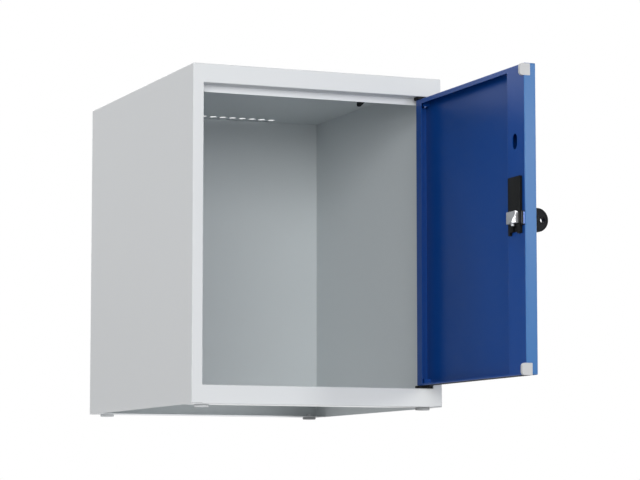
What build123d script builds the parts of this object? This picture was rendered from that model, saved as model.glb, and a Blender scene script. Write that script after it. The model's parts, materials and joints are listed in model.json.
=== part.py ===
from build123d import *
import os
from math import cos, radians, sin

os.makedirs("parts", exist_ok=True)

# Lengths are in millimetres and angles in degrees.
# The origin is the middle of the cabinet's footprint, on the floor. The front faces -Y, up is +Z.
# Door, lock and handle are modelled with the door shut, then swung open to their rest pose.

# Cabinet body
body_width = 400.0
body_depth = 500.0
body_height = 500.0
body_sheet = 1.0
body_corner_radius = 1.6
bend_outer = 1.5
bend_inner = 0.5

# Front frame
left_stile_width = 17.0
right_stile_width = 15.0
top_rail_height = 28.5
bottom_rail_height = 28.0
stop_depth = 25.0
top_stop_height = 10.0
side_stop_width = 8.0
stile_foot_relief = 1.5
stile_foot_radius = 3.0
floor_lap = 10.0

# Ventilation slots in the roof
vent_count = 14
vent_pitch = 17.4
vent_length = 15.0
vent_width = 12.0
vent_back_margin = 20.0
vent_shift = 4.5

# Feet and the flanges that carry them
foot_height = 4.0
foot_radius = 11.0
foot_stem_radius = 4.0
foot_stem_height = 5.0
foot_side_inset = 23.0
foot_end_inset = 22.0
foot_flange_depth = 42.0

# Coat hook under the roof
hook_side_inset = 40.0
hook_tip_inset = 225.0
hook_plate_width = 18.0
hook_plate_length = 34.0
hook_plate_thickness = 3.0
hook_drop = 12.0
hook_rib_thickness = 8.0
hook_rib_length = 26.0
hook_plate_margin = 4.0
hook_stem_radius = 3.0

# Door
door_thickness = 18.0
door_sheet = 1.0
door_corner_radius = 1.2
lock_side_gap = 2.0
hinge_side_gap = 3.0
door_bottom_gap = 4.2
door_top_gap = 4.8
hinge_flange_width = 19.0
end_flange_width = 7.0
low_flange_width = 3.0
stiffener_width = 53.7
stiffener_foot_width = 10.0
rest_angle = 90.0

# Slot in the door's stiffener
grip_slot_width = 14.0
grip_slot_height = 22.0
grip_slot_backset = 30.0
grip_slot_rise = 110.0

# Hinges
hinge_edge_inset = 6.0
hinge_face_inset = 5.5
hinge_pin_radius = 2.5
hinge_head_radius = 4.0
hinge_head_height = 1.5
hinge_pin_overrun = 3.0
pivot_block_width = 12.0
pivot_block_depth = 11.0
pivot_block_height = 9.0
bush_inner_reach = 14.5
bush_depth = 17.7
bush_end_radius = 5.0
bush_margin = 0.4
lower_bush_play = 0.2
upper_bush_play = 0.4

# Buffers on the door's lock side
buffer_height = 17.0
buffer_seat_width = 5.0
buffer_cap = 0.6
buffer_edge_reach = 9.4
buffer_end_inset = 0.8
buffer_low_overhang = 0.8
buffer_radius = 3.0
buffer_peg_radius = 3.0
buffer_peg_drop = 5.0

# Lock case
lock_backset = 26.5
case_near_edge = 8.5
case_far_edge = 45.0
case_above = 59.5
case_below = 22.0
case_thickness = 4.0
case_cover = 1.3
case_wall = 2.0
case_notch_near = 18.0
case_notch_far = 40.0
case_notch_rise = 4.5
case_short_leg = 1.5
case_recess_near = 17.0
case_recess_far = 31.0
case_recess_top = 10.0
case_recess_depth = 3.0
case_peg_radius = 2.0
case_peg_length = 3.0
case_peg_rises = (26.0, 50.0)

# Bolt, drive pin and guide
bolt_thickness = 2.0
bolt_height = 17.0
bolt_float = 0.4
bolt_setback = 0.5
bolt_length = 41.5
bolt_side_play = 0.5
turn_angle = 90.0
drive_radius = 10.0
drive_pin_radius = 1.5
drive_pin_play = 0.5
drive_lug_wall = 3.0
guide_depth = 5.0
guide_height = 19.6
guide_thickness = 4.0

# Drive cam
cam_gap = 0.3
cam_thickness = 5.6
cam_near_reach = 15.0
cam_far_reach = 12.6
cam_above = 10.4
cam_below = 6.5
cam_chamfer = 2.0
cam_ledge_stand = 5.0
cam_ledge_length = 12.0
cam_ledge_thickness = 2.2
cam_gusset_setback = 0.8
cam_gusset_thickness = 1.6
cam_gusset_height = 8.4
cam_socket_depth = 4.4
set_screw_radius = 1.9
set_screw_head_radius = 2.7
set_screw_stand = 3.4
set_screw_offset = 2.5

# Outside handle
spindle_radius = 4.0
rosette_radius = 17.0
rosette_thickness = 4.5
rosette_rim_radius = 1.2
sleeve_radius = 8.0
sleeve_length = 9.0
nut_radius = 12.5
nut_thickness = 4.0
grip_gap = 0.3
grip_hub_radius = 15.5
grip_hub_thickness = 4.0
grip_radius = 17.0
grip_thickness = 12.0
grip_reach = 28.7
grip_edge_radius = 1.0
grip_rim = 2.5
grip_recess = 0.8
grip_socket_depth = 10.0
padlock_eye_radius = 4.0
padlock_eye_reach = 20.0
padlock_boss_wall = 2.5

# Clearances
running_clearance = 0.08
fixed_clearance = 0.05
seat_clearance = 0.3
hole_clearance = 1.0

# Faces of the cabinet
left = -body_width / 2
right = body_width / 2
front = -body_depth / 2
back = body_depth / 2
bottom = foot_height
top = bottom + body_height
inner_left = left + body_sheet
inner_right = right - body_sheet
inner_front = front + body_sheet
inner_back = back - body_sheet
ceiling = top - body_sheet
hook_x = right - hook_side_inset
hook_tip_y = front + hook_tip_inset

# Door opening in the front frame
open_left = left + left_stile_width
open_right = right - right_stile_width
open_low = bottom + bottom_rail_height
open_high = top - top_rail_height
stop_front = front + stop_depth
stop_back = stop_front + body_sheet

# Faces of the shut door
door_left = open_left + lock_side_gap
door_right = open_right - hinge_side_gap
door_low = open_low + door_bottom_gap
door_high = open_high - door_top_gap
door_inner = front + door_thickness
skin_inner = front + door_sheet
hinge_x = door_right - hinge_edge_inset
hinge_y = front + hinge_face_inset
lock_x = door_left + lock_backset
lock_z = (door_low + door_high) / 2

# Lock stack, from the door's inner plane towards the back
bolt_front = door_inner + bolt_float
bolt_back = bolt_front + bolt_thickness
case_back = door_inner + case_thickness
case_pocket_back = case_back - case_cover
cam_near = case_back + cam_gap
cam_far = cam_near + cam_thickness
drive_x = lock_x + drive_radius * cos(radians(turn_angle / 2))
drive_z = lock_z + drive_radius * sin(radians(turn_angle / 2))
bolt_travel = 2 * drive_radius * sin(radians(turn_angle / 2))
drive_slot_half = drive_pin_radius + drive_pin_play
drive_slot_top = lock_z + drive_radius + drive_slot_half
drive_lug_half = drive_slot_half + drive_lug_wall
drive_lug_top = drive_slot_top + drive_lug_wall


def block(x0, x1, y0, y1, z0, z1):
    """A box between two corners."""
    return Pos((x0 + x1) / 2, (y0 + y1) / 2, (z0 + z1) / 2) * Box(x1 - x0, y1 - y0, z1 - z0)


def rod_x(x0, x1, y, z, radius):
    """A cylinder along X."""
    return Pos((x0 + x1) / 2, y, z) * Rot(0, 90, 0) * Cylinder(radius, x1 - x0)


def rod_y(x, y0, y1, z, radius):
    """A cylinder along Y."""
    return Pos(x, (y0 + y1) / 2, z) * Rot(90, 0, 0) * Cylinder(radius, y1 - y0)


def rod_z(x, y, z0, z1, radius):
    """A cylinder along Z."""
    return Pos(x, y, (z0 + z1) / 2) * Cylinder(radius, z1 - z0)


def round_edge(solid, axis, rank, radius):
    """Rounds the one edge along an axis that ranks lowest."""
    return fillet(solid.edges().filter_by(axis).sort_by(rank)[0], radius)


def bend(solid, axis, places, radius):
    """Rounds the edges along an axis that pass through places, given as their other two coordinates."""
    chosen = []
    for edge in solid.edges().filter_by(axis):
        middle = edge.center()
        spot = (middle.X, middle.Y) if axis == Axis.Z else (middle.Y, middle.Z)
        if any(abs(spot[0] - u) + abs(spot[1] - v) < 0.01 for u, v in places):
            chosen.append(edge)
    return fillet(chosen, radius)


def cabinet_form():
    """The cabinet's outer form, rounded on every edge but the lower ones."""
    form = block(left, right, front, back, bottom, top)
    edges = [edge for edge in form.edges() if edge.center().Z > bottom + body_corner_radius]
    return fillet(edges, body_corner_radius)


def door_form():
    """The shut door's outer form, rounded all round."""
    form = block(door_left, door_right, front, door_inner, door_low, door_high)
    return fillet(form.edges(), door_corner_radius)


outer_form = cabinet_form()
door_outer_form = door_form()


# Cabinet body

def side_panel(x0, x1):
    """A flat side with its lower front corner rounded off."""
    panel = block(x0, x1, inner_front, inner_back, bottom, top)
    panel = round_edge(panel, Axis.X, lambda edge: edge.center().Y + edge.center().Z, stile_foot_radius)
    return panel & outer_form


def roof_panel():
    """The roof, with a row of ventilation slots along the back and a hole for the hook's stem."""
    panel = block(inner_left, inner_right, inner_front, inner_back, ceiling, top) & outer_form
    slot = Rot(0, 0, 90) * SlotOverall(vent_length, vent_width)
    slot_y = back - vent_back_margin
    first_x = -(vent_count - 1) * vent_pitch / 2 - vent_shift
    for index in range(vent_count):
        slot_x = first_x + index * vent_pitch
        panel -= Pos(slot_x, slot_y, ceiling - hole_clearance) * extrude(slot, body_sheet + 2 * hole_clearance)
    hole_radius = hook_stem_radius + fixed_clearance
    return panel - rod_z(hook_x, hook_stem_y(), ceiling - hole_clearance, top + hole_clearance, hole_radius)


def back_panel():
    """The back, over the ends of the sides and the roof."""
    return block(left, right, inner_back, back, bottom, top) & outer_form


def floor_panel():
    """The floor, with a lap under the bottom rail's return."""
    level = open_low - body_sheet
    panel = block(inner_left, inner_right, stop_back, inner_back, level - body_sheet, level)
    return panel + block(open_left, open_right, stop_back - floor_lap, stop_back, level - body_sheet, level)


def stile_length(outer_x, open_x, z0, z1):
    """A stretch of stile with no bends: its face and its return."""
    leg_x = open_x + (body_sheet if outer_x > open_x else -body_sheet)
    face = block(min(outer_x, open_x), max(outer_x, open_x), front, inner_front, z0, z1)
    return face + block(min(leg_x, open_x), max(leg_x, open_x), front, stop_back, z0, z1)


def stile(outer_x, open_x, stop_x):
    """An upright of the front frame: face, return and stop flange, bent where they border the opening."""
    inward = 1 if open_x > outer_x else -1
    leg_x = open_x - inward * body_sheet
    stop_top = open_high - top_stop_height
    low = bottom + stile_foot_relief
    foot = stile_length(outer_x, open_x, low, open_low)
    corner = [edge for edge in foot.edges().filter_by(Axis.Y)
              if abs(edge.center().X - outer_x) + abs(edge.center().Z - low) < body_sheet / 2]
    foot = fillet(corner, stile_foot_radius)
    side = stile_length(outer_x, open_x, open_low, stop_top)
    side += block(min(open_x, stop_x), max(open_x, stop_x), stop_front, stop_back, open_low, stop_top)
    side = bend(side, Axis.Z, [(open_x, front), (leg_x, stop_back)], bend_outer)
    side = bend(side, Axis.Z, [(leg_x, inner_front), (open_x, stop_front)], bend_inner)
    neck = stile_length(outer_x, open_x, stop_top, open_high)
    neck = bend(neck, Axis.Z, [(open_x, front)], bend_outer)
    neck = bend(neck, Axis.Z, [(leg_x, inner_front)], bend_inner)
    head = stile_length(outer_x, open_x, open_high, top)
    head -= block(min(leg_x, open_x), max(leg_x, open_x), inner_front, stop_back, ceiling, top)
    return (foot + side + neck + head) & outer_form


def left_stile():
    """The lock side's stile, with the slot that takes the bolt."""
    play = bolt_side_play
    slot = block(open_left - body_sheet - hole_clearance, open_left + hole_clearance,
                 bolt_front - play, bolt_back + play,
                 lock_z - bolt_height / 2 - play, lock_z + bolt_height / 2 + play)
    return stile(left, open_left, open_left + side_stop_width) - slot


def top_rail():
    """The top of the frame: face, return and a stop flange that hangs into the opening."""
    rail = block(open_left, open_right, front, inner_front, open_high, top)
    rail += block(open_left, open_right, front, stop_back, open_high, open_high + body_sheet)
    rail += block(open_left, open_right, stop_front, stop_back, open_high - top_stop_height, open_high)
    rail = bend(rail, Axis.X, [(front, open_high), (stop_back, open_high + body_sheet)], bend_outer)
    rail = bend(rail, Axis.X, [(inner_front, open_high + body_sheet), (stop_front, open_high)], bend_inner)
    hole = rod_z(hinge_x, hinge_y, open_high - hole_clearance, open_high + body_sheet + hole_clearance,
                 hinge_pin_radius + running_clearance)
    return (rail & outer_form) - hole


def bottom_rail():
    """The bottom of the frame: face, return under the door and the front feet's flange."""
    flange_back = front + foot_flange_depth
    rail = block(open_left, open_right, front, inner_front, bottom, open_low)
    rail += block(open_left, open_right, front, stop_back, open_low - body_sheet, open_low)
    rail += block(open_left, open_right, front, flange_back, bottom, bottom + body_sheet)
    rail = bend(rail, Axis.X, [(front, open_low), (front, bottom)], bend_outer)
    rail = bend(rail, Axis.X, [(inner_front, open_low - body_sheet), (inner_front, bottom + body_sheet)],
                bend_inner)
    for x0, x1 in ((inner_left, open_left), (open_right, inner_right)):
        rail += block(x0, x1, inner_front, flange_back, bottom, bottom + body_sheet)
    hole = rod_z(hinge_x, hinge_y, open_low - body_sheet - hole_clearance, open_low + hole_clearance,
                 hinge_pin_radius + fixed_clearance)
    return rail - hole - foot_holes(front + foot_end_inset)


def rear_base_strip():
    """The strip across the back that carries the rear feet."""
    strip = block(inner_left, inner_right, back - foot_flange_depth, inner_back, bottom, bottom + body_sheet)
    return strip - foot_holes(back - foot_end_inset)


def foot_columns():
    """The X places of the left and right feet."""
    return (left + foot_side_inset, right - foot_side_inset)


def foot_holes(y):
    """A pair of holes for the feet's stems."""
    radius = foot_stem_radius + fixed_clearance
    holes = [rod_z(x, y, bottom - hole_clearance, bottom + body_sheet + hole_clearance, radius)
             for x in foot_columns()]
    return holes[0] + holes[1]


def feet():
    """Four plastic glides, each a disc with a stem through its flange."""
    glides = []
    for y in (front + foot_end_inset, back - foot_end_inset):
        for x in foot_columns():
            disc = rod_z(x, y, 0, foot_height, foot_radius)
            stem = rod_z(x, y, foot_height, foot_height + foot_stem_height, foot_stem_radius)
            glides.append(disc + stem)
    return Compound(children=glides)


def hook_stem_y():
    """The Y place of the hook's stem, at the middle of its plate."""
    return hook_tip_y + hook_plate_margin - hook_plate_length / 2


def coat_hook():
    """A plastic hook under the roof: plate, stem and a wedge that points down at its back end."""
    plate_back = hook_tip_y + hook_plate_margin
    plate_low = ceiling - hook_plate_thickness
    half_plate = hook_plate_width / 2
    half_rib = hook_rib_thickness / 2
    plate = block(hook_x - half_plate, hook_x + half_plate, plate_back - hook_plate_length, plate_back,
                  plate_low, ceiling)
    outline = Polyline((hook_tip_y, plate_low), (hook_tip_y, ceiling - hook_drop),
                       (hook_tip_y - hook_rib_length, plate_low), close=True)
    wedge = Pos(hook_x - half_rib, 0, 0) * extrude(Plane.YZ * make_face(outline), hook_rib_thickness)
    stem = rod_z(hook_x, hook_stem_y(), ceiling, top, hook_stem_radius)
    return plate + wedge + stem


# Hinges

def hinge_bush(z0, z1, bore_clearance):
    """A plastic plate between rail and door, rounded at its free end."""
    bush = block(hinge_x - bush_inner_reach, open_right - bush_margin,
                 front + bush_margin, front + bush_margin + bush_depth, z0, z1)
    corners = bush.edges().filter_by(Axis.Z).sort_by(Axis.X)[:2]
    bush = fillet(corners, bush_end_radius)
    bore = rod_z(hinge_x, hinge_y, z0 - hole_clearance, z1 + hole_clearance, hinge_pin_radius + bore_clearance)
    return bush - bore


def lower_hinge_pin():
    """The headed pin that stands up from the bottom rail into the door."""
    seat = open_low - body_sheet
    shaft = rod_z(hinge_x, hinge_y, seat, door_low + door_sheet + pivot_block_height, hinge_pin_radius)
    return shaft + rod_z(hinge_x, hinge_y, seat - hinge_head_height, seat, hinge_head_radius)


def upper_hinge_pin():
    """The headed pin that stands up from the door into the top rail."""
    seat = door_high - door_sheet - pivot_block_height
    shaft = rod_z(hinge_x, hinge_y, seat, open_high + body_sheet + hinge_pin_overrun, hinge_pin_radius)
    return shaft + rod_z(hinge_x, hinge_y, seat - hinge_head_height, seat, hinge_head_radius)


def pivot_block(z0, bore_clearance):
    """The block inside the door's hinge corner that a pin passes through."""
    far_x = door_right - door_sheet
    solid = block(far_x - pivot_block_width, far_x, skin_inner, skin_inner + pivot_block_depth,
                  z0, z0 + pivot_block_height)
    return solid - rod_z(hinge_x, hinge_y, z0 - hole_clearance, z0 + pivot_block_height + hole_clearance,
                         hinge_pin_radius + bore_clearance)


# Door

def door_panel():
    """The door's pan: skin, four edges and the inner flanges on three of them."""
    rim = door_inner - door_sheet
    pan = block(door_left, door_right, front, skin_inner, door_low, door_high)
    pan += block(door_left, door_left + door_sheet, front, door_inner, door_low, door_high)
    pan += block(door_right - door_sheet, door_right, front, door_inner, door_low, door_high)
    pan += block(door_left, door_right, front, door_inner, door_low, door_low + door_sheet)
    pan += block(door_left, door_right, front, door_inner, door_high - door_sheet, door_high)
    pan += block(door_right - hinge_flange_width, door_right, rim, door_inner, door_low, door_high)
    pan += block(door_left, door_right, rim, door_inner, door_low, door_low + low_flange_width)
    pan += block(door_left, door_right, rim, door_inner, door_high - end_flange_width, door_high)
    pan = pan & door_outer_form
    pan -= rod_y(lock_x, front - hole_clearance, skin_inner + hole_clearance, lock_z,
                 sleeve_radius + fixed_clearance)
    pan -= rod_z(hinge_x, hinge_y, door_low - hole_clearance, door_low + door_sheet + hole_clearance,
                 hinge_pin_radius + running_clearance)
    pan -= rod_z(hinge_x, hinge_y, door_high - door_sheet - hole_clearance, door_high + hole_clearance,
                 hinge_pin_radius + fixed_clearance)
    for z in (lower_buffer_z(), upper_buffer_z()):
        pan -= rod_x(door_left - hole_clearance, door_left + door_sheet + hole_clearance,
                     door_inner - buffer_peg_drop, z, buffer_peg_radius + fixed_clearance)
    return pan


def lock_stiffener():
    """The hat along the lock side: inner plate, web and the foot on the skin."""
    near_x = door_left + door_sheet
    web_x = door_left + stiffener_width - door_sheet
    foot_x = web_x + door_sheet + stiffener_foot_width
    low = door_low + low_flange_width
    high = door_high - end_flange_width
    rim = door_inner - door_sheet
    hat = block(near_x, web_x + door_sheet, rim, door_inner, low, high)
    hat += block(web_x, web_x + door_sheet, skin_inner, door_inner, low, high)
    hat += block(web_x, foot_x, skin_inner, skin_inner + door_sheet, low, high)
    hat = bend(hat, Axis.Z, [(web_x + door_sheet, door_inner), (web_x, skin_inner)], bend_outer)
    hat = bend(hat, Axis.Z, [(web_x, rim), (web_x + door_sheet, skin_inner + door_sheet)], bend_inner)
    cut = extrude(Plane.XZ * (Rot(0, 0, 90) * SlotOverall(grip_slot_height, grip_slot_width)),
                  door_sheet + hole_clearance, both=True)
    hat -= Pos(door_left + grip_slot_backset, door_inner, lock_z + grip_slot_rise) * cut
    hat -= rod_y(lock_x, rim - hole_clearance, door_inner + hole_clearance, lock_z,
                 spindle_radius + hole_clearance)
    for rise in case_peg_rises:
        hat -= rod_y(lock_x, rim - hole_clearance, door_inner + hole_clearance, lock_z + rise,
                     case_peg_radius + fixed_clearance)
    return hat


def lower_buffer_z():
    """The height of the lower buffer's middle."""
    return door_low - buffer_low_overhang + buffer_height / 2


def upper_buffer_z():
    """The height of the upper buffer's middle."""
    return door_high - buffer_end_inset - buffer_height / 2


def door_buffer(z):
    """A plastic buffer that caps the door's edge and stands out towards the stop flange."""
    half = buffer_height / 2
    stand = stop_front - seat_clearance
    pad = block(door_left - buffer_cap, door_left + buffer_seat_width, door_inner, stand, z - half, z + half)
    outer_edges = pad.edges().filter_by(Axis.X).sort_by(Axis.Y)[-2:]
    pad = fillet(outer_edges, buffer_radius)
    cap = block(door_left - buffer_cap, door_left, door_inner - buffer_edge_reach, door_inner,
                z - half, z + half)
    peg = rod_x(door_left, door_left + buffer_seat_width, door_inner - buffer_peg_drop, z, buffer_peg_radius)
    return pad + cap + peg


# Lock

def lock_case():
    """The black case over the bolt: pocket, bolt slit, drive window, notch, a recess over the notch and two pegs."""
    play = bolt_side_play
    near_x = door_left + case_near_edge
    far_x = door_left + case_far_edge
    half_bolt = bolt_height / 2 + play
    case = block(near_x, far_x, door_inner, case_back, lock_z - case_below, lock_z + case_above)
    case -= block(drive_x - drive_lug_half - bolt_travel - play, far_x - case_wall,
                  door_inner, case_pocket_back, lock_z - half_bolt, drive_lug_top + play)
    case -= block(near_x, far_x - case_wall, door_inner, case_pocket_back,
                  lock_z - half_bolt, lock_z + half_bolt)
    window_radius = drive_radius + drive_slot_half
    window = rod_y(lock_x, door_inner, case_back + hole_clearance, lock_z, window_radius)
    window &= block(lock_x - window_radius, lock_x + window_radius, door_inner, case_back + hole_clearance,
                    lock_z, lock_z + window_radius)
    case -= window
    case -= rod_y(lock_x, door_inner, case_back + hole_clearance, lock_z, spindle_radius + hole_clearance)
    case -= block(door_left + case_notch_near, door_left + case_notch_far, door_inner, case_back,
                  lock_z - case_below, lock_z - case_below + case_notch_rise)
    case -= block(near_x, door_left + case_notch_near, door_inner, case_back,
                  lock_z - case_below, lock_z - case_below + case_short_leg)
    case -= block(door_left + case_recess_near, door_left + case_recess_far, case_back - case_recess_depth, case_back,
                  lock_z - case_below, lock_z - case_recess_top)
    for rise in case_peg_rises:
        case += rod_y(lock_x, door_inner - case_peg_length, door_inner, lock_z + rise, case_peg_radius)
    return case


def bolt():
    """The flat bolt: a fork round the spindle and a slotted lug that the drive pin moves."""
    half = bolt_height / 2
    near_x = door_left + bolt_setback
    far_x = near_x + bolt_length
    fork_half = spindle_radius + bolt_side_play
    plate = block(near_x, far_x, bolt_front, bolt_back, lock_z - half, lock_z + half)
    plate += block(drive_x - drive_lug_half, drive_x + drive_lug_half, bolt_front, bolt_back,
                   lock_z + half, drive_lug_top)
    plate -= block(lock_x - fork_half, far_x, bolt_front, bolt_back, lock_z - fork_half, lock_z + fork_half)
    plate -= block(drive_x - drive_slot_half, drive_x + drive_slot_half, bolt_front, bolt_back,
                   lock_z, drive_slot_top)
    return plate


def bolt_guide():
    """The bridge on the door's free edge that the bolt slides out through."""
    play = bolt_side_play
    bridge = block(door_left, door_left + guide_depth, door_inner, door_inner + guide_thickness,
                   lock_z - guide_height / 2, lock_z + guide_height / 2)
    return bridge - block(door_left, door_left + guide_depth, door_inner, case_pocket_back,
                          lock_z - bolt_height / 2 - play, lock_z + bolt_height / 2 + play)


def drive_cam():
    """The die-cast block on the spindle, with a small ledge and its gusset at the lower near corner."""
    near_x = lock_x - cam_near_reach
    low = lock_z - cam_below
    cam = block(near_x, lock_x + cam_far_reach, cam_near, cam_far, low, lock_z + cam_above)
    edge = cam.edges().filter_by(Axis.X).sort_by(lambda item: item.center().Y - item.center().Z)[0]
    cam = chamfer(edge, cam_chamfer)
    ledge_top = low + cam_ledge_thickness
    cam += block(near_x, near_x + cam_ledge_length, cam_far, cam_far + cam_ledge_stand, low, ledge_top)
    outline = Polyline((cam_far, ledge_top), (cam_far + cam_ledge_stand, ledge_top),
                       (cam_far, ledge_top + cam_gusset_height), close=True)
    gusset_x = near_x + cam_gusset_setback
    cam += Pos(gusset_x, 0, 0) * extrude(Plane.YZ * make_face(outline), cam_gusset_thickness)
    cam -= rod_y(lock_x, cam_near, cam_near + cam_socket_depth, lock_z, spindle_radius + fixed_clearance)
    cam -= rod_z(set_screw_x(), set_screw_y(), low, lock_z, set_screw_radius + fixed_clearance)
    cam -= rod_y(drive_x, cam_near, cam_near + bolt_thickness, drive_z, drive_pin_radius + fixed_clearance)
    return cam


def set_screw_x():
    """The set screw's axis, a little nearer to the door's free edge than the spindle's."""
    return lock_x - set_screw_offset


def set_screw_y():
    """The depth of the set screw's axis, at the middle of the cam."""
    return (cam_near + cam_far) / 2


def cam_set_screw():
    """The screw that holds the cam on the spindle, with its head below the cam."""
    low = lock_z - cam_below
    shank = rod_z(set_screw_x(), set_screw_y(), low, lock_z - spindle_radius - fixed_clearance, set_screw_radius)
    return shank + rod_z(set_screw_x(), set_screw_y(), low - set_screw_stand, low, set_screw_head_radius)


def drive_pin():
    """The pin from the cam into the bolt's lug."""
    return rod_y(drive_x, bolt_front, cam_near + bolt_thickness, drive_z, drive_pin_radius)


# Outside handle

def spindle():
    """The shaft from the grip to the cam."""
    outer_end = front - rosette_thickness - grip_gap - grip_socket_depth
    return rod_y(lock_x, outer_end, cam_near + cam_socket_depth, lock_z, spindle_radius)


def lock_rosette():
    """The round rosette on the skin, with the sleeve that the spindle turns in."""
    disc = rod_y(lock_x, front - rosette_thickness, front, lock_z, rosette_radius)
    rim = disc.edges().filter_by(GeomType.CIRCLE).sort_by(Axis.Y)[0]
    disc = fillet(rim, rosette_rim_radius)
    disc += rod_y(lock_x, front, front + sleeve_length, lock_z, sleeve_radius)
    return disc - rod_y(lock_x, front - rosette_thickness, front + sleeve_length, lock_z,
                        spindle_radius + running_clearance)


def lock_nut():
    """The nut on the sleeve, behind the skin."""
    nut = Pos(lock_x, skin_inner, lock_z) * extrude(Plane.XZ * RegularPolygon(nut_radius, 6), -nut_thickness)
    return nut - rod_y(lock_x, skin_inner, skin_inner + nut_thickness, lock_z,
                       sleeve_radius + fixed_clearance)


def turn_grip():
    """The grip: a hub and a half-moon fin with an eye for a padlock."""
    hub_back = front - rosette_thickness - grip_gap
    hub_front = hub_back - grip_hub_thickness
    moon_y = front - grip_reach + grip_radius
    half = grip_thickness / 2
    fin = rod_x(lock_x - half, lock_x + half, moon_y, lock_z, grip_radius)
    fin &= block(lock_x - half, lock_x + half, moon_y - grip_radius, moon_y,
                 lock_z - grip_radius, lock_z + grip_radius)
    fin += block(lock_x - half, lock_x + half, moon_y, hub_back, lock_z - grip_radius, lock_z + grip_radius)
    rims = [edge for edge in fin.edges().filter_by(GeomType.CIRCLE)]
    fin = fillet(rims, grip_edge_radius)
    eye_y = front - padlock_eye_reach
    for side in (-1, 1):
        recess = rod_x(lock_x + side * half - grip_recess, lock_x + side * half + grip_recess, moon_y, lock_z,
                       grip_radius - grip_rim)
        recess -= rod_x(lock_x - grip_thickness, lock_x + grip_thickness, eye_y, lock_z,
                        padlock_eye_radius + padlock_boss_wall)
        recess &= block(lock_x - grip_thickness, lock_x + grip_thickness, front - grip_reach, moon_y,
                        lock_z - grip_radius, lock_z + grip_radius)
        fin -= recess
    grip = fin + rod_y(lock_x, hub_front, hub_back, lock_z, grip_hub_radius)
    grip -= rod_x(lock_x - grip_thickness, lock_x + grip_thickness, eye_y, lock_z, padlock_eye_radius)
    return grip - rod_y(lock_x, hub_back - grip_socket_depth, hub_back, lock_z,
                        spindle_radius + fixed_clearance)


# Writing the nodes

def swing_open(solid):
    """Turns a piece of the shut door about the hinge axis to the rest pose."""
    return solid.rotate(Axis((hinge_x, hinge_y, 0), (0, 0, 1)), rest_angle)


cabinet_nodes = {
    "left_side_panel": side_panel(left, inner_left),
    "right_side_panel": side_panel(inner_right, right),
    "roof_panel": roof_panel(),
    "back_panel": back_panel(),
    "floor_panel": floor_panel(),
    "left_stile": left_stile(),
    "right_stile": stile(right, open_right, open_right - side_stop_width),
    "top_rail": top_rail(),
    "bottom_rail": bottom_rail(),
    "rear_base_strip": rear_base_strip(),
    "feet": feet(),
    "coat_hook": coat_hook(),
    "lower_hinge_bush": hinge_bush(open_low, door_low - lower_bush_play, fixed_clearance),
    "upper_hinge_bush": hinge_bush(door_high + upper_bush_play, open_high, running_clearance),
    "lower_hinge_pin": lower_hinge_pin(),
}

door_nodes = {
    "door_panel": door_panel(),
    "lock_stiffener": lock_stiffener(),
    "lower_pivot_block": pivot_block(door_low + door_sheet, running_clearance),
    "upper_pivot_block": pivot_block(door_high - door_sheet - pivot_block_height, fixed_clearance),
    "upper_hinge_pin": upper_hinge_pin(),
    "lower_buffer": door_buffer(lower_buffer_z()),
    "upper_buffer": door_buffer(upper_buffer_z()),
    "lock_case": lock_case(),
    "bolt_guide": bolt_guide(),
    "lock_rosette": lock_rosette(),
    "lock_nut": lock_nut(),
    "turn_grip": turn_grip(),
    "spindle": spindle(),
    "drive_cam": drive_cam(),
    "cam_set_screw": cam_set_screw(),
    "drive_pin": drive_pin(),
    "bolt": bolt(),
}

for name, solid in cabinet_nodes.items():
    export_step(solid, f"parts/{name}.step")

for name, solid in door_nodes.items():
    export_step(swing_open(solid), f"parts/{name}.step")
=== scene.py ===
import json
import math

import bmesh
import bpy
import numpy as np
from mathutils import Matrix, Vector, geometry


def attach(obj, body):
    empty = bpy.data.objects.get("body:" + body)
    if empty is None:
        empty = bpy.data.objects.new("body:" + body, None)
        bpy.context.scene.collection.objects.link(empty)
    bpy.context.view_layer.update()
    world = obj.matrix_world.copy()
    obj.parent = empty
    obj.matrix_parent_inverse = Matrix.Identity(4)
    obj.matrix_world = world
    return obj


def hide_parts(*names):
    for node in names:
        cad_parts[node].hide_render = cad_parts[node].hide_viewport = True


# Shapes are written in millimetres and become metres when their mesh is made.
# The origin is the middle of the cabinet's footprint on the floor, the front faces -Y,
# and the door stands open.
metres_per_mm = 0.001
mm_per_metre = 1000

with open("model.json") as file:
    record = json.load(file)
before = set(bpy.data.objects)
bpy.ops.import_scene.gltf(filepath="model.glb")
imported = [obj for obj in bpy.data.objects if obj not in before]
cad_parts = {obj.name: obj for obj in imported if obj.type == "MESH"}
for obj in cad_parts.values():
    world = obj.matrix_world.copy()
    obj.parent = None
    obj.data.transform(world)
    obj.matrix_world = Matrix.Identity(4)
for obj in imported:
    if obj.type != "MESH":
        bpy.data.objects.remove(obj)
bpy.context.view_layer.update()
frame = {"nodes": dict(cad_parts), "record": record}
nodes = frame["nodes"]

# Door: its places are (s, d, z), with s from the free edge towards the hinge,
# d from the skin inwards, and z up
door_edge_y = -601.5
door_skin_x = 181.5
hinge_x = 176
hinge_y = -244.5
lock_s = 26.5
lock_z = 253.45

# Camera
image_width_px = 640
sensor_width_mm = 36.0
focal_px = 2525.34
camera_place_m = (-1.41431, -3.70557, -0.13989)
camera_yaw_deg = 22.2708
camera_pitch_deg = 5.9542

# Meshes: how near points are to be joined, how short edges are to go, and which edges stay sharp
seam_gap_m = 2e-6
sliver_m = 1e-6
weld_gap_m = 1e-6
sharp_from_deg = 32
bevel_from_deg = 40
bevel_segments = 3


# Outlines and profiles

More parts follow.
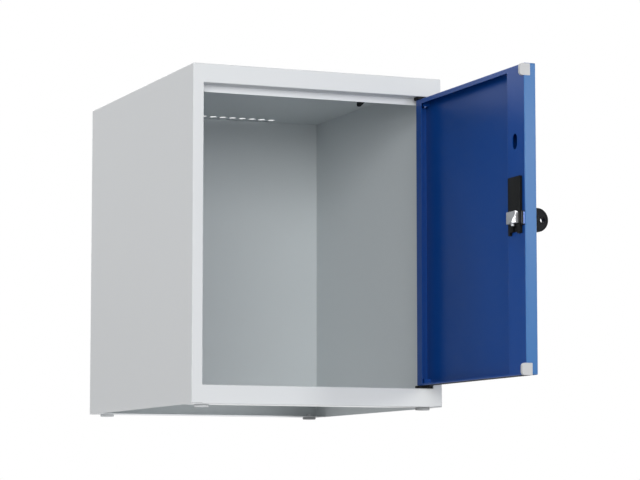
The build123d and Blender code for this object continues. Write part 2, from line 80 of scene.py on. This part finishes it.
def outline(corners, radii, steps=7):
    """A closed outline with rounded corners, and its outward normals.

    A point is centre + radius * u, where u turns evenly from one tangent point to the other.
    """
    p = np.array(corners, float)
    r = np.broadcast_to(np.array(radii, float), len(p))[:, None]
    a = np.roll(p, 1, 0) - p
    b = np.roll(p, -1, 0) - p
    a /= np.linalg.norm(a, axis=1, keepdims=True)
    b /= np.linalg.norm(b, axis=1, keepdims=True)
    half = np.arccos(np.clip((a * b).sum(1, keepdims=True), -1, 1)) / 2
    middle = (a + b) / np.linalg.norm(a + b, axis=1, keepdims=True)
    centre = p + middle * r / np.sin(half)
    first = (p + a * r / np.tan(half) - centre) / r
    last = (p + b * r / np.tan(half) - centre) / r
    sweep = (np.pi - 2 * half)[:, None]
    t = np.linspace(0, 1, steps)[None, :, None]
    u = np.sin((1 - t) * sweep) * first[:, None] + np.sin(t * sweep) * last[:, None]
    u = u / np.sin(sweep)
    turn = np.sign(b[:, 0] * a[:, 1] - b[:, 1] * a[:, 0])[:, None, None]
    return (centre[:, None] + r[:, None] * u).reshape(-1, 2), (turn * u).reshape(-1, 2)


def circle(x, y, radius, steps=48, hole=False):
    """A round outline: centre + radius * (cos t, sin t). A hole's normals point at the centre."""
    t = np.linspace(0, 2 * np.pi, steps, endpoint=False)
    u = np.stack([np.cos(t), np.sin(t)], 1)
    return np.array([x, y]) + radius * u, (-u if hole else u)


def eased_rim(low, high, low_radius, high_radius, steps=5):
    """Inset and height along a rim with a quarter round at each end.

    The inset is r (1 - sin t) and the height r (1 - cos t), counted from that end.
    """
    t = np.linspace(0, np.pi / 2, steps)
    start = np.stack([low_radius * (1 - np.sin(t)), low + low_radius * (1 - np.cos(t))], 1)
    end = np.stack([high_radius * (1 - np.cos(t)), high - high_radius * (1 - np.sin(t))], 1)
    return np.concatenate([start, end])


def arc(x, y, radius, start_deg, end_deg, steps=6):
    """Points of a profile's arc: centre + radius * (cos t, sin t)."""
    t = np.radians(np.linspace(start_deg, end_deg, steps))
    return np.stack([x + radius * np.cos(t), y + radius * np.sin(t)], 1)


# Shells: arrays of points with faces that index them

def cells(rows, columns):
    """The faces of a grid whose rows close on themselves.

    Cell (i, j) joins (i, j), (i, j+1), (i+1, j+1) and (i+1, j).
    """
    i, j = np.meshgrid(np.arange(rows - 1), np.arange(columns), indexing="ij")
    k = (j + 1) % columns
    corners = [i * columns + j, i * columns + k, (i + 1) * columns + k, (i + 1) * columns + j]
    return np.stack(corners, -1).reshape(-1, 4).tolist()


def walls(loop, rim):
    """The grid of a rim carried round an outline.

    Point (i, j) is outline point j moved in by inset i, at height i.
    """
    points, normals = loop
    rim = np.array(rim, float)
    flat = points[None] - normals[None] * rim[:, 0, None, None]
    height = np.broadcast_to(rim[:, 1, None, None], flat.shape[:2] + (1,))
    grid = np.concatenate([flat, height], 2)
    return grid.reshape(-1, 3), cells(len(rim), len(points))


def cap(loops, height):
    """The flat face at a height between outlines, each given with its inset at that face."""
    rings = [points - normals * inset for (points, normals), inset in loops]
    faces = geometry.tessellate_polygon(
        [[Vector((x, y, 0)) for x, y in ring.tolist()] for ring in rings])
    flat = np.concatenate(rings)
    points = np.concatenate([flat, np.full((len(flat), 1), height)], 1)
    return points, [list(face) for face in faces]


def slab(loops, rim):
    """A plate with an eased rim carried round each of its outlines, and a flat face at each end."""
    shells = [walls(loop, rim) for loop in loops]
    for inset, height in (rim[0], rim[-1]):
        shells.append(cap([(loop, inset) for loop in loops], height))
    return shells


def turned(profile, steps=64):
    """A turned form: the profile's (radius, height) carried round the height axis."""
    profile = np.array(profile, float)
    t = np.linspace(0, 2 * np.pi, steps, endpoint=False)
    radius, height = profile[:, 0, None], profile[:, 1, None]
    grid = np.stack([radius * np.cos(t), radius * np.sin(t),
                     np.broadcast_to(height, (len(profile), steps))], -1)
    return [(grid.reshape(-1, 3), cells(len(profile), steps))]


def loft(rings):
    """A closed form through rings of as many points each, with a flat face at either end."""
    rings = np.array(rings, float)
    rows, columns = rings.shape[:2]
    ends = [list(range(columns)), list(range((rows - 1) * columns, rows * columns))]
    return [(rings.reshape(-1, 3), cells(rows, columns) + ends)]


# Placing shells in the object

def moved(shells, order, offset, signs=(1, 1, 1)):
    """Shells with their axes put in another order, turned about by signs, and shifted."""
    return [(points[:, order] * signs + offset, faces) for points, faces in shells]


def on_door(shells):
    """Shells from the door's own places to the object's: x = skin - d, y = edge + s."""
    return [(np.stack([door_skin_x - points[:, 1], door_edge_y + points[:, 0], points[:, 2]], 1),
             faces) for points, faces in shells]


def even_normals(made):
    """Weighs the normals at each point by the size of the faces there. Sharp edges stay sharp."""
    even = made.modifiers.new("even_normals", "WEIGHTED_NORMAL")
    even.keep_sharp = True


def make_piece(name, shells, body, node, finish):
    """Joins shells into a mesh, gives it its finish and its body, and hides the CAD node it stands
    for.

    Points nearer than the seam gap become one, which closes seams and poles.
    """
    starts = np.cumsum([0] + [len(points) for points, _ in shells])
    faces = [[index + int(start) for index in face]
             for (_, some), start in zip(shells, starts) for face in some]
    points = np.concatenate([points for points, _ in shells]) * metres_per_mm
    mesh = bpy.data.meshes.new(name)
    mesh.from_pydata(points.tolist(), [], faces)
    work = bmesh.new()
    work.from_mesh(mesh)
    bmesh.ops.remove_doubles(work, verts=work.verts, dist=seam_gap_m)
    bmesh.ops.dissolve_degenerate(work, edges=work.edges, dist=sliver_m)
    bmesh.ops.recalc_face_normals(work, faces=work.faces)
    work.to_mesh(mesh)
    work.free()
    mesh.shade_smooth()
    mesh.set_sharp_from_angle(angle=math.radians(sharp_from_deg))
    mesh.materials.append(finish)
    made = bpy.data.objects.new(name, mesh)
    bpy.context.scene.collection.objects.link(made)
    even_normals(made)
    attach(made, body)
    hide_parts(node)


# Materials

# Refraction of paint and plastic, which is also the shader's default for a metal
finish_ior = 1.5
# How far the roughness strays from its middle value, over the broad patches
roughness_spread = 0.04
# The free edge and the lower edge of the door reach this far from its outermost planes; a highlight
# is painted on the free edge and shade on the lower edge
free_edge_to_y_m = -0.6008
lower_edge_to_z_m = 0.0363


def linear(code):
    """An sRGB hex code as linear light.

    It is c / 12.92 at the dark end and ((c + 0.055) / 1.055) ** 2.4 above it.
    """
    c = np.array([int(code[k:k + 2], 16) for k in (1, 3, 5)]) / 255
    return (*np.where(c <= 0.04045, c / 12.92, ((c + 0.055) / 1.055) ** 2.4).tolist(), 1.0)


def add(tree, kind, values=(), links=(), **settings):
    """Adds a node with its settings, its input values, and its links as (input, node, output)."""
    made = tree.nodes.new(kind)
    for name, value in settings.items():
        setattr(made, name, value)
    for name, value in dict(values).items():
        made.inputs[name].default_value = value
    for name, source, output in links:
        tree.links.new(source.outputs[output], made.inputs[name])
    return made


def new_material(name):
    """An empty node material."""
    made = bpy.data.materials.new(name)
    made.use_nodes = True
    made.node_tree.nodes.clear()
    return made


def surface(name, shade, other_shade, patch_mm, grain_mm, grain_height_mm, roughness,
            level=0.5, metallic=0.0):
    """A coated, moulded or cast finish.

    It has two near shades in broad patches, uneven gloss over them, and a fine raised grain.
    A pattern's scale is 1 / its size in metres.
    """
    made = new_material(name)
    tree = made.node_tree
    place = add(tree, "ShaderNodeTexCoord")
    patches = add(tree, "ShaderNodeTexNoise",
                  {"Scale": mm_per_metre / patch_mm, "Detail": 3.0, "Roughness": 0.5},
                  [("Vector", place, "Object")])
    shades = add(tree, "ShaderNodeMix", {6: linear(shade), 7: linear(other_shade)},
                 [("Factor", patches, "Fac")], data_type="RGBA")
    gloss = add(tree, "ShaderNodeMapRange", {"To Min": roughness - roughness_spread,
                                             "To Max": roughness + roughness_spread},
                [("Value", patches, "Fac")])
    grain = add(tree, "ShaderNodeTexNoise",
                {"Scale": mm_per_metre / grain_mm, "Detail": 2.0, "Roughness": 0.45},
                [("Vector", place, "Object")])
    bump = add(tree, "ShaderNodeBump",
               {"Strength": 1.0, "Distance": grain_height_mm * metres_per_mm},
               [("Height", grain, "Fac")])
    shader = add(tree, "ShaderNodeBsdfPrincipled",
                 {"Metallic": metallic, "IOR": finish_ior, "Specular IOR Level": level},
                 [("Base Color", shades, 2), ("Roughness", gloss, "Result"),
                  ("Normal", bump, "Normal")])
    add(tree, "ShaderNodeOutputMaterial", (), [("Surface", shader, "BSDF")])
    return made


def paint_edge_highlight_and_shade(material):
    """Paints a highlight on the door's free edge as a paler blue, and paints shade on its lower
    edge as a dull near black.

    A point is on an edge where its y or z is less than the edge's limit.
    """
    tree = material.node_tree
    shader = next(node for node in tree.nodes if node.bl_idname == "ShaderNodeBsdfPrincipled")
    shades = shader.inputs["Base Color"].links[0].from_node
    gloss = shader.inputs["Roughness"].links[0].from_node
    place = add(tree, "ShaderNodeTexCoord")
    split = add(tree, "ShaderNodeSeparateXYZ", (), [("Vector", place, "Object")])
    on_edge = add(tree, "ShaderNodeMath", {1: free_edge_to_y_m}, [(0, split, "Y")],
                  operation="LESS_THAN")
    below = add(tree, "ShaderNodeMath", {1: lower_edge_to_z_m}, [(0, split, "Z")],
                operation="LESS_THAN")
    # Painted highlight: a paler blue on the free edge, in place of the light that the edge catches
    painted_highlight = add(tree, "ShaderNodeMix", {7: linear("#2A649E")},
                [("Factor", on_edge, 0), (6, shades, 2)], data_type="RGBA")
    # Painted shade: a near black on the lower edge, in place of the shade beneath the door; the
    # roughness there is raised to full
    painted_shade = add(tree, "ShaderNodeMix", {7: linear("#050D1C")},
                 [("Factor", below, 0), (6, painted_highlight, 2)], data_type="RGBA")
    dulled = add(tree, "ShaderNodeMath", (), [(0, gloss, "Result"), (1, below, 0)],
                 operation="MAXIMUM")
    tree.links.new(painted_shade.outputs[2], shader.inputs["Base Color"])
    tree.links.new(dulled.outputs[0], shader.inputs["Roughness"])


# Polyester powder coat, baked on sheet steel: an even colour with a soft sheen and a faint
# orange peel
powder_coat = {"patch_mm": 160, "grain_mm": 3.5, "grain_height_mm": 0.010}
# Light grey: a pale neutral grey
body_paint = surface("powder_coated_steel_grey", "#D1D4D6", "#D4D6D8",
                     roughness=0.42, level=0.2, **powder_coat)
# The same grey on the right side, the back and the roof, a little cooler: painted light, a copy
# whose cooler tint stands in for light bounced round inside the cabinet
bounce_tinted_paint = surface("powder_coated_steel_grey_bounce_tinted", "#D0D6D8", "#D3D8DA",
                      roughness=0.42, level=0.2, **powder_coat)
# The same grey on the floor panel inside: paler, so that it lights the walls above it
shelf_paint = surface("powder_coated_steel_pale_grey", "#EEF1F2", "#F1F3F4",
                      roughness=0.42, level=0.2, **powder_coat)
# Gentian blue: deep and even, and a little smoother than the grey
door_paint = surface("powder_coated_steel_blue", "#083E88", "#0B418B",
                     roughness=0.30, level=0.22, **powder_coat)
# Paints a highlight on the door's free edge and shade on its lower edge
paint_edge_highlight_and_shade(door_paint)
# Glass-filled polyamide, moulded: dull black with a fine spark-eroded grain
black_moulded = surface("polyamide_moulded_black", "#141517", "#18191B", patch_mm=12,
                        grain_mm=0.9, grain_height_mm=0.020, roughness=0.48, level=0.09)
# ABS of the lock's case and the bolt's guide, moulded: black with a slight satin gleam
case_moulded = surface("abs_moulded_black", "#0C0D0E", "#0F1011", patch_mm=15,
                       grain_mm=0.9, grain_height_mm=0.015, roughness=0.45, level=0.1)
# Polyethylene of the buffers, moulded: a soft pale grey with little gloss
buffer_moulded = surface("polyethylene_moulded_grey", "#B5B6B8", "#BABBBD", patch_mm=9,
                         grain_mm=1.2, grain_height_mm=0.015, roughness=0.5, level=0.3)
# Polypropylene of the glides, moulded: mid grey and dull
glide_moulded = surface("polypropylene_moulded_grey", "#B6B9BB", "#BCBEC0", patch_mm=9,
                        grain_mm=1.2, grain_height_mm=0.02, roughness=0.55, level=0.3)
# Zinc-plated steel: a cool satin grey, a little cloudy
zinc_plated = surface("steel_zinc_plated", "#A9ACB0", "#B5B8BC", patch_mm=7,
                      grain_mm=1.5, grain_height_mm=0.010, roughness=0.5, metallic=1.0)
# Zinc die-cast, tumbled: paler and brighter, with a fine pitted skin
die_cast = surface("zinc_die_cast_tumbled", "#BABBBD", "#C3C4C6", patch_mm=8,
                   grain_mm=1.1, grain_height_mm=0.015, roughness=0.36, metallic=1.0)
# Blued steel of the bolt and the hinge pins: a dark slate blue oxide with a satin gleam
blued = surface("steel_blued", "#4F6290", "#556896", patch_mm=7,
                grain_mm=1.5, grain_height_mm=0.010, roughness=0.4, metallic=1.0)

finishes = {
    "body_paint": body_paint, "door_paint": door_paint, "black_plastic": black_moulded,
    "grey_plastic": buffer_moulded, "zinc": zinc_plated, "die_cast": die_cast,
    "glide_plastic": glide_moulded, "bolt_steel": blued,
}
for subpart in frame["record"]["subparts"]:
    mesh = nodes[subpart["node"]].data
    mesh.materials.clear()
    mesh.materials.append(finishes[subpart["material_slot"]])
nodes["lock_case"].data.materials[0] = case_moulded
# These panels take the cooler copy of the grey, which paints in bounced light
for name in ("right_side_panel", "back_panel", "roof_panel"):
    nodes[name].data.materials[0] = bounce_tinted_paint
nodes["floor_panel"].data.materials[0] = shelf_paint


# Cabinet pieces

def feet():
    """Four moulded glides on the corners of a rectangle.

    Each is a turned disc with a shallow dimple, an eased rim, a drafted side and its stem.
    """
    half_x, half_y = 177, 228
    profile = np.concatenate([[(0, 0.5), (2.6, 0.5), (3.6, 0)], arc(9.6, 1.4, 1.4, -90, 0),
                              [(10.75, 3.6), (10.4, 4.0), (4.0, 4.0),
                               (4.0, 8.4), (3.4, 9.0), (0, 9.0)]])
    shells = []
    for x in (-half_x, half_x):
        for y in (-half_y, half_y):
            shells += moved(turned(profile), [0, 1, 2], (x, y, 0))
    return shells


def coat_hook():
    """A plate with eased corners under the roof, a prong that hangs from it, and its stem.

    The prong is lofted through rounded sections, half width * cos(a) ** squareness across,
    which hang from one top height and deepen evenly to the back end, where they draw in.
    """
    middle_x, stem_y = 160, -38
    prong_front_y, prong_length = -51, 26
    prong_top, front_depth, deepening = 500.8, 1.5, 7.6
    half_width, squareness, section_steps = 4.0, 0.6, 40
    plate = slab([outline([(151, -55), (169, -55), (169, -21), (151, -21)], 4)],
                 eased_rim(500, 503, 0.9, 0.05))
    t = np.array([0, 0.12, 0.3, 0.5, 0.7, 0.86, 0.95, 0.985, 1.0])[:, None]
    share = np.array([1, 1, 1, 1, 1, 1, 0.98, 0.9, 0.7])[:, None]
    a = np.linspace(0, 2 * np.pi, section_steps, endpoint=False)[None]
    across = np.sign(np.cos(a)) * np.abs(np.cos(a)) ** squareness * half_width * share
    depth = front_depth + deepening * t
    round_height = np.sign(np.sin(a)) * np.abs(np.sin(a)) ** squareness * depth / 2 * share
    down = prong_top - depth / 2 + round_height
    along = np.broadcast_to(prong_front_y + prong_length * t, across.shape)
    prong = loft(np.stack([middle_x + across, along, down], -1))
    stem = moved(turned([(0, 502.5), (3, 502.5), (3, 503.7), (2.7, 504), (0, 504)]),
                 [0, 1, 2], (middle_x, stem_y, 0))
    return plate + prong + stem


def hinge_bush(low, high):
    """A moulded plate round the hinge pin, with a round free end and eased faces."""
    hole_radius, ease = 2.6, 0.35
    loop = outline([(161.5, -249.6), (184.6, -249.6), (184.6, -231.9), (161.5, -231.9)],
                   [5, 0.6, 0.6, 5])
    return slab([loop, circle(hinge_x, hinge_y, hole_radius, 32, hole=True)],
                eased_rim(low, high, ease, ease, 4))


# Door pieces

def door_buffer(z):
    """A moulded cap on the free edge and the pad behind it.

    One outline is carried along s, and it steps in from the cap to the pad.
    """
    half, inner_d, corner = 8.5, 24.7, 4.5
    cap_d, pad_d = 8.6, 18.05
    capped = outline([(cap_d, -half), (inner_d, -half), (inner_d, half), (cap_d, half)],
                     [0.8, corner, corner, 0.8])
    pad = outline([(pad_d, -half), (inner_d, -half), (inner_d, half), (pad_d, half)],
                  [0.3, corner, corner, 0.3])
    rows = [(capped, inset, s) for inset, s in eased_rim(-0.6, 0, 0.45, 0.0)[:6]]
    rows += [(pad, 0, 0)]
    rows += [(pad, inset, s) for inset, s in eased_rim(0, 5, 0, 1.0)[5:]]
    rings = [np.concatenate([points - normals * inset, np.full((len(points), 1), s)], 1)
             for (points, normals), inset, s in rows]
    return on_door(moved(loft(rings), [2, 0, 1], (0, 0, z)))


def drive_cam():
    """The cast block with its chamfer, the ledge at its lower near corner and its gusset."""
    block = outline([(22.3, -6.5), (27.9, -6.5), (27.9, 10.4), (24.3, 10.4), (22.3, 8.4)], 0.5)
    ledge = outline([(11.5, 27.5), (23.5, 27.5), (23.5, 32.9), (11.5, 32.9)], 0.4)
    gusset = outline([(27.4, -4.9), (32.7, -4.9), (32.7, -4.1), (28.3, 4.1), (27.4, 4.1)], 0.2)
    to_lock = (0, 0, lock_z)
    return on_door(moved(slab([block], eased_rim(11.5, 39.1, 0.5, 0.5)), [2, 0, 1], to_lock)
                   + moved(slab([ledge], eased_rim(-6.5, -4.3, 0.35, 0.35)), [0, 1, 2], to_lock)
                   + moved(slab([gusset], eased_rim(12.3, 13.9, 0.25, 0.25)), [2, 0, 1], to_lock))


def cam_set_screw():
    """The screw below the cam: a hexagon socket in a turned head, and its shank.

    The socket's radius is a / cos(t), with t folded to 30 degrees either side of a flat.
    """
    socket_flat, steps = 1.3, 48
    t = np.linspace(0, 2 * np.pi, steps, endpoint=False)
    socket = socket_flat / np.cos((t + np.pi / 6) % (np.pi / 3) - np.pi / 6)
    radii = [socket * 0.97, socket]
    radii += [np.full(steps, radius) for radius in (1.75, 2.3, 2.6, 2.7, 2.7, 1.9, 1.9)]
    heights = [1.4, 0.15, 0, 0.08, 0.35, 0.7, 3.4, 3.4, 5.8]
    rings = [np.stack([r * np.cos(t), r * np.sin(t), np.full(steps, height)], 1)
             for r, height in zip(radii, heights)]
    return on_door(moved(loft(rings), [0, 1, 2], (lock_s - 2.5, 25.1, lock_z - 9.9)))


def bolt_guide():
    """The moulded bridge on the free edge that the bolt slides out through.

    One bracket outline is carried along s.
    """
    loop = outline([(18, -9.8), (22, -9.8), (22, 9.8), (18, 9.8),
                    (18, 9), (20.7, 9), (20.7, -9), (18, -9)],
                   [0.2, 1.0, 1.0, 0.2, 0.2, 0.4, 0.4, 0.2])
    return on_door(moved(slab([loop], eased_rim(0, 5, 0.2, 0.2)), [2, 0, 1], (0, 0, lock_z)))


def lock_rosette():
    """The turned rosette, with a drafted side and a rounded rim, and its sleeve in the skin."""
    profile = np.concatenate([[(4.1, -9), (7.5, -9), (8, -8.5), (8, 0), (17, 0), (16.8, 3.3)],
                              arc(15.6, 3.3, 1.2, 0, 90),
                              [(14.6, 4.5), (14.2, 4.2), (4.5, 4.2), (4.1, 3.8), (4.1, -9)]])
    return on_door(moved(turned(profile, 96), [0, 2, 1], (lock_s, 0, lock_z), (1, -1, 1)))


def turn_grip():
    """The grip: a half-moon fin with an eased rim, on a turned hub.

    Each side has a sunk face, and a raised ring round the padlock's eye.
    """
    half_thick, sunk_at = 6.0, 5.2
    eye_d, ring_radius = 20, 5.2
    fin = outline([(4.8, -17), (28.7, -17), (28.7, 17), (4.8, 17)], [0.6, 16.99, 16.99, 0.6], 26)
    sunk = outline([(11.9, 14.3), (26.0, 14.3), (26.0, -14.3), (11.9, -14.3)],
                   [1, 13.05, 13.05, 1], 20)
    ring = circle(eye_d, 0, ring_radius)
    ring_as_hole = circle(eye_d, 0, ring_radius, hole=True)
    lip = np.array([(0, 6.0), (0.12, 5.95), (0.3, 5.6), (0.42, 5.35), (0.75, 5.2)])
    raised = np.array([(0, 5.2), (0.1, 5.3), (0.16, 5.8), (0.32, 6.0),
                       (0.75, 6.0), (0.98, 5.9), (1.15, 5.6), (1.2, 5.1)])
    shells = [walls(fin, eased_rim(-half_thick, half_thick, 1, 1, 6)),
              walls(ring, np.concatenate([raised, raised[::-1] * (1, -1)]))]
    for side in (1, -1):
        shells.append(cap([(fin, 1.0), (sunk, 0)], half_thick * side))
        shells.append(walls(sunk, lip * (1, side)))
        shells.append(cap([(sunk, 0.75), (ring_as_hole, 0)], sunk_at * side))
    hub = np.concatenate([[(0, 4.8), (15.2, 4.8), (15.5, 5.1), (15.5, 8.0)],
                          arc(14.7, 8.0, 0.8, 0, 90), [(0, 8.8)]])
    to_lock, outward = (lock_s, 0, lock_z), (1, -1, 1)
    return on_door(moved(shells, [2, 0, 1], to_lock, outward)
                   + moved(turned(hub, 96), [0, 2, 1], to_lock, outward))


make_piece("glide_feet", feet(), "cabinet", "feet", glide_moulded)
make_piece("ceiling_hook", coat_hook(), "cabinet", "coat_hook", black_moulded)
make_piece("lower_bush", hinge_bush(32.0, 36.0), "cabinet", "lower_hinge_bush",
           black_moulded)
make_piece("upper_bush", hinge_bush(471.1, 475.5), "cabinet", "upper_hinge_bush",
           black_moulded)
make_piece("lower_edge_buffer", door_buffer(43.9), "door", "lower_buffer",
           buffer_moulded)
make_piece("upper_edge_buffer", door_buffer(461.4), "door", "upper_buffer",
           buffer_moulded)
make_piece("cast_cam", drive_cam(), "handle", "drive_cam", die_cast)
make_piece("socket_screw", cam_set_screw(), "handle", "cam_set_screw", zinc_plated)
make_piece("bolt_bridge", bolt_guide(), "door", "bolt_guide", case_moulded)
make_piece("handle_rosette", lock_rosette(), "door", "lock_rosette",
           black_moulded)
make_piece("half_moon_grip", turn_grip(), "handle", "turn_grip", black_moulded)


def ease_edges(name, width_mm):
    """Rounds a CAD node's sharp edges with a small even bevel, after joining its triangles."""
    made = nodes[name]
    join = made.modifiers.new("join_triangles", "WELD")
    join.merge_threshold = weld_gap_m
    bevel = made.modifiers.new("eased_edges", "BEVEL")
    bevel.width = width_mm * metres_per_mm
    bevel.segments = bevel_segments
    bevel.limit_method = "ANGLE"
    bevel.angle_limit = math.radians(bevel_from_deg)
    even_normals(made)


ease_edges("lock_case", 0.5)
ease_edges("bolt", 0.2)


# Floor, world and lamps: places and sizes in metres

floor_half = 6.0
# The shaded floor turns to plain white between these distances from the origin
floor_fade_from = 1.2
floor_fade_to = 3.0
# Light of its own that lifts the shaded floor to white
floor_lift = 0.28
# Light that the floor throws up beneath the body, beneath its right side and beside the body
thrown_under = 1.1
thrown_under_right = 0.22
thrown_beside = 0.5
right_from_x = 0.11
right_to_x = 0.16
# The body's half width and half depth, and how far from that outline the light changes over
body_half = (0.2, 0.25, 0)
beside_from = -0.02
beside_to = 0.01
# Even light from all round
world_light = 0.12


def pale_floor():
    """A pale matt floor, white where nothing shades it, and clear when looked at from below.

    A camera's ray sees the shaded floor, which fades to white with the distance. A mirrored ray
    sees white. Every other ray sees a light whose strength goes by how far the place is outside
    the body's footprint, which is the larger of |x| - half width and |y| - half depth.
    """
    made = new_material("pale_matt_floor")
    tree = made.node_tree
    path = add(tree, "ShaderNodeLightPath")
    sight = add(tree, "ShaderNodeNewGeometry")
    place = add(tree, "ShaderNodeTexCoord")
    reach = add(tree, "ShaderNodeVectorMath", (), [(0, place, "Object")], operation="LENGTH")
    fade = add(tree, "ShaderNodeMapRange",
               {"From Min": floor_fade_from, "From Max": floor_fade_to},
               [("Value", reach, "Value")], interpolation_type="SMOOTHSTEP")
    matt = add(tree, "ShaderNodeBsdfDiffuse", {"Color": linear("#DADADA")})
    lift = add(tree, "ShaderNodeEmission", {"Color": linear("#FFFFFF"), "Strength": floor_lift})
    seen = add(tree, "ShaderNodeAddShader", (), [(0, matt, 0), (1, lift, 0)])
    white = add(tree, "ShaderNodeEmission", {"Color": linear("#FFFFFF"), "Strength": 1.0})
    far = add(tree, "ShaderNodeMixShader", (),
              [("Fac", fade, "Result"), (1, seen, 0), (2, white, 0)])
    folded = add(tree, "ShaderNodeVectorMath", (), [(0, place, "Object")], operation="ABSOLUTE")
    outside = add(tree, "ShaderNodeVectorMath", {1: body_half}, [(0, folded, 0)],
                  operation="SUBTRACT")
    split = add(tree, "ShaderNodeSeparateXYZ", (), [("Vector", outside, 0)])
    beyond = add(tree, "ShaderNodeMath", (), [(0, split, "X"), (1, split, "Y")],
                 operation="MAXIMUM")
    across = add(tree, "ShaderNodeSeparateXYZ", (), [("Vector", place, "Object")])
    under = add(tree, "ShaderNodeMapRange",
                {"From Min": right_from_x, "From Max": right_to_x,
                 "To Min": thrown_under, "To Max": thrown_under_right},
                [("Value", across, "X")])
    nearby = add(tree, "ShaderNodeMapRange",
                 {"From Min": beside_from, "From Max": beside_to, "To Max": thrown_beside},
                 [("Value", beyond, 0), ("To Min", under, 0)])
    bounce = add(tree, "ShaderNodeEmission", {"Color": linear("#FFFFFF")},
                 [("Strength", nearby, "Result")])
    mirrored = add(tree, "ShaderNodeMath", (),
                   [(0, path, "Is Glossy Ray"), (1, path, "Is Transmission Ray")],
                   operation="MAXIMUM")
    other = add(tree, "ShaderNodeMixShader", (),
                [("Fac", mirrored, 0), (1, bounce, 0), (2, white, 0)])
    upper = add(tree, "ShaderNodeMixShader", (),
                [("Fac", path, "Is Camera Ray"), (1, other, 0), (2, far, 0)])
    clear = add(tree, "ShaderNodeBsdfTransparent")
    side = add(tree, "ShaderNodeMixShader", (),
               [("Fac", sight, "Backfacing"), (1, upper, 0), (2, clear, 0)])
    add(tree, "ShaderNodeOutputMaterial", (), [("Surface", side, 0)])
    return made


def studio_world():
    """White surroundings for the camera and for mirrored rays, and a soft even light for others."""
    made = bpy.data.worlds.new("studio")
    made.use_nodes = True
    tree = made.node_tree
    tree.nodes.clear()
    path = add(tree, "ShaderNodeLightPath")
    mirrored = add(tree, "ShaderNodeMath", (),
                   [(0, path, "Is Glossy Ray"), (1, path, "Is Transmission Ray")],
                   operation="MAXIMUM")
    shown = add(tree, "ShaderNodeMath", (), [(0, path, "Is Camera Ray"), (1, mirrored, 0)],
                operation="MAXIMUM")
    soft = add(tree, "ShaderNodeBackground",
               {"Color": linear("#FFFFFF"), "Strength": world_light})
    white = add(tree, "ShaderNodeBackground", {"Color": linear("#FFFFFF"), "Strength": 1.0})
    both = add(tree, "ShaderNodeMixShader", (),
               [("Fac", shown, 0), (1, soft, 0), (2, white, 0)])
    add(tree, "ShaderNodeOutputWorld", (), [("Surface", both, 0)])
    return made


def lamp(name, place, aim, width, height, watts):
    """A plain soft light: a rectangle that faces a point of the object."""
    data = bpy.data.lights.new(name, "AREA")
    data.shape = "RECTANGLE"
    data.size, data.size_y, data.energy = width, height, watts
    made = bpy.data.objects.new(name, data)
    made.location = place
    made.rotation_euler = (Vector(aim) - Vector(place)).to_track_quat("-Z", "Y").to_euler()
    bpy.context.scene.collection.objects.link(made)


floor_mesh = bpy.data.meshes.new("floor")
floor_mesh.from_pydata([(-floor_half, -floor_half, 0), (floor_half, -floor_half, 0),
                        (floor_half, floor_half, 0), (-floor_half, floor_half, 0)],
                       [], [(0, 1, 2, 3)])
floor_mesh.materials.append(pale_floor())
floor = bpy.data.objects.new("floor", floor_mesh)
bpy.context.scene.collection.objects.link(floor)
bpy.context.scene.world = studio_world()

lamp("front_left_softbox", (-1.9, -3.4, 0.85), (0.0, 0.0, 0.25), 2.4, 1.5, 66)
lamp("front_softbox", (-0.6, -3.9, 0.85), (0.0, 0.0, 0.25), 1.0, 1.0, 24)
lamp("front_low_softbox", (0.0, -3.6, 0.35), (0.0, 0.0, 0.25), 1.6, 0.6, 9)
lamp("edge_softbox", (1.7, -3.75, 0.8), (0.17, -0.6, 0.25), 0.5, 0.8, 25)
lamp("left_softbox", (-3.4, 1.6, 0.5), (-0.2, 0.0, 0.25), 1.5, 1.5, 34)
lamp("right_softbox", (3.4, -1.5, 1.0), (0.2, -0.2, 0.25), 2.0, 1.5, 24)
lamp("right_rear_softbox", (3.2, 1.6, 1.0), (0.2, 0.0, 0.25), 1.5, 1.5, 24)
lamp("back_softbox", (0.6, 4.0, 1.3), (0.0, 0.25, 0.25), 2.4, 1.5, 50)
lamp("top_softbox", (-0.3, 0.8, 3.0), (0.0, 0.2, 0.5), 1.0, 1.0, 54)


# Camera

scene = bpy.context.scene
scene.view_settings.view_transform = "Standard"
camera_data = bpy.data.cameras.new("camera")
camera_data.sensor_width = sensor_width_mm
camera_data.lens = focal_px * sensor_width_mm / image_width_px
camera = bpy.data.objects.new("camera", camera_data)
camera.location = camera_place_m
camera.rotation_euler = (math.radians(90 + camera_pitch_deg), 0, math.radians(-camera_yaw_deg))
scene.collection.objects.link(camera)
scene.camera = camera
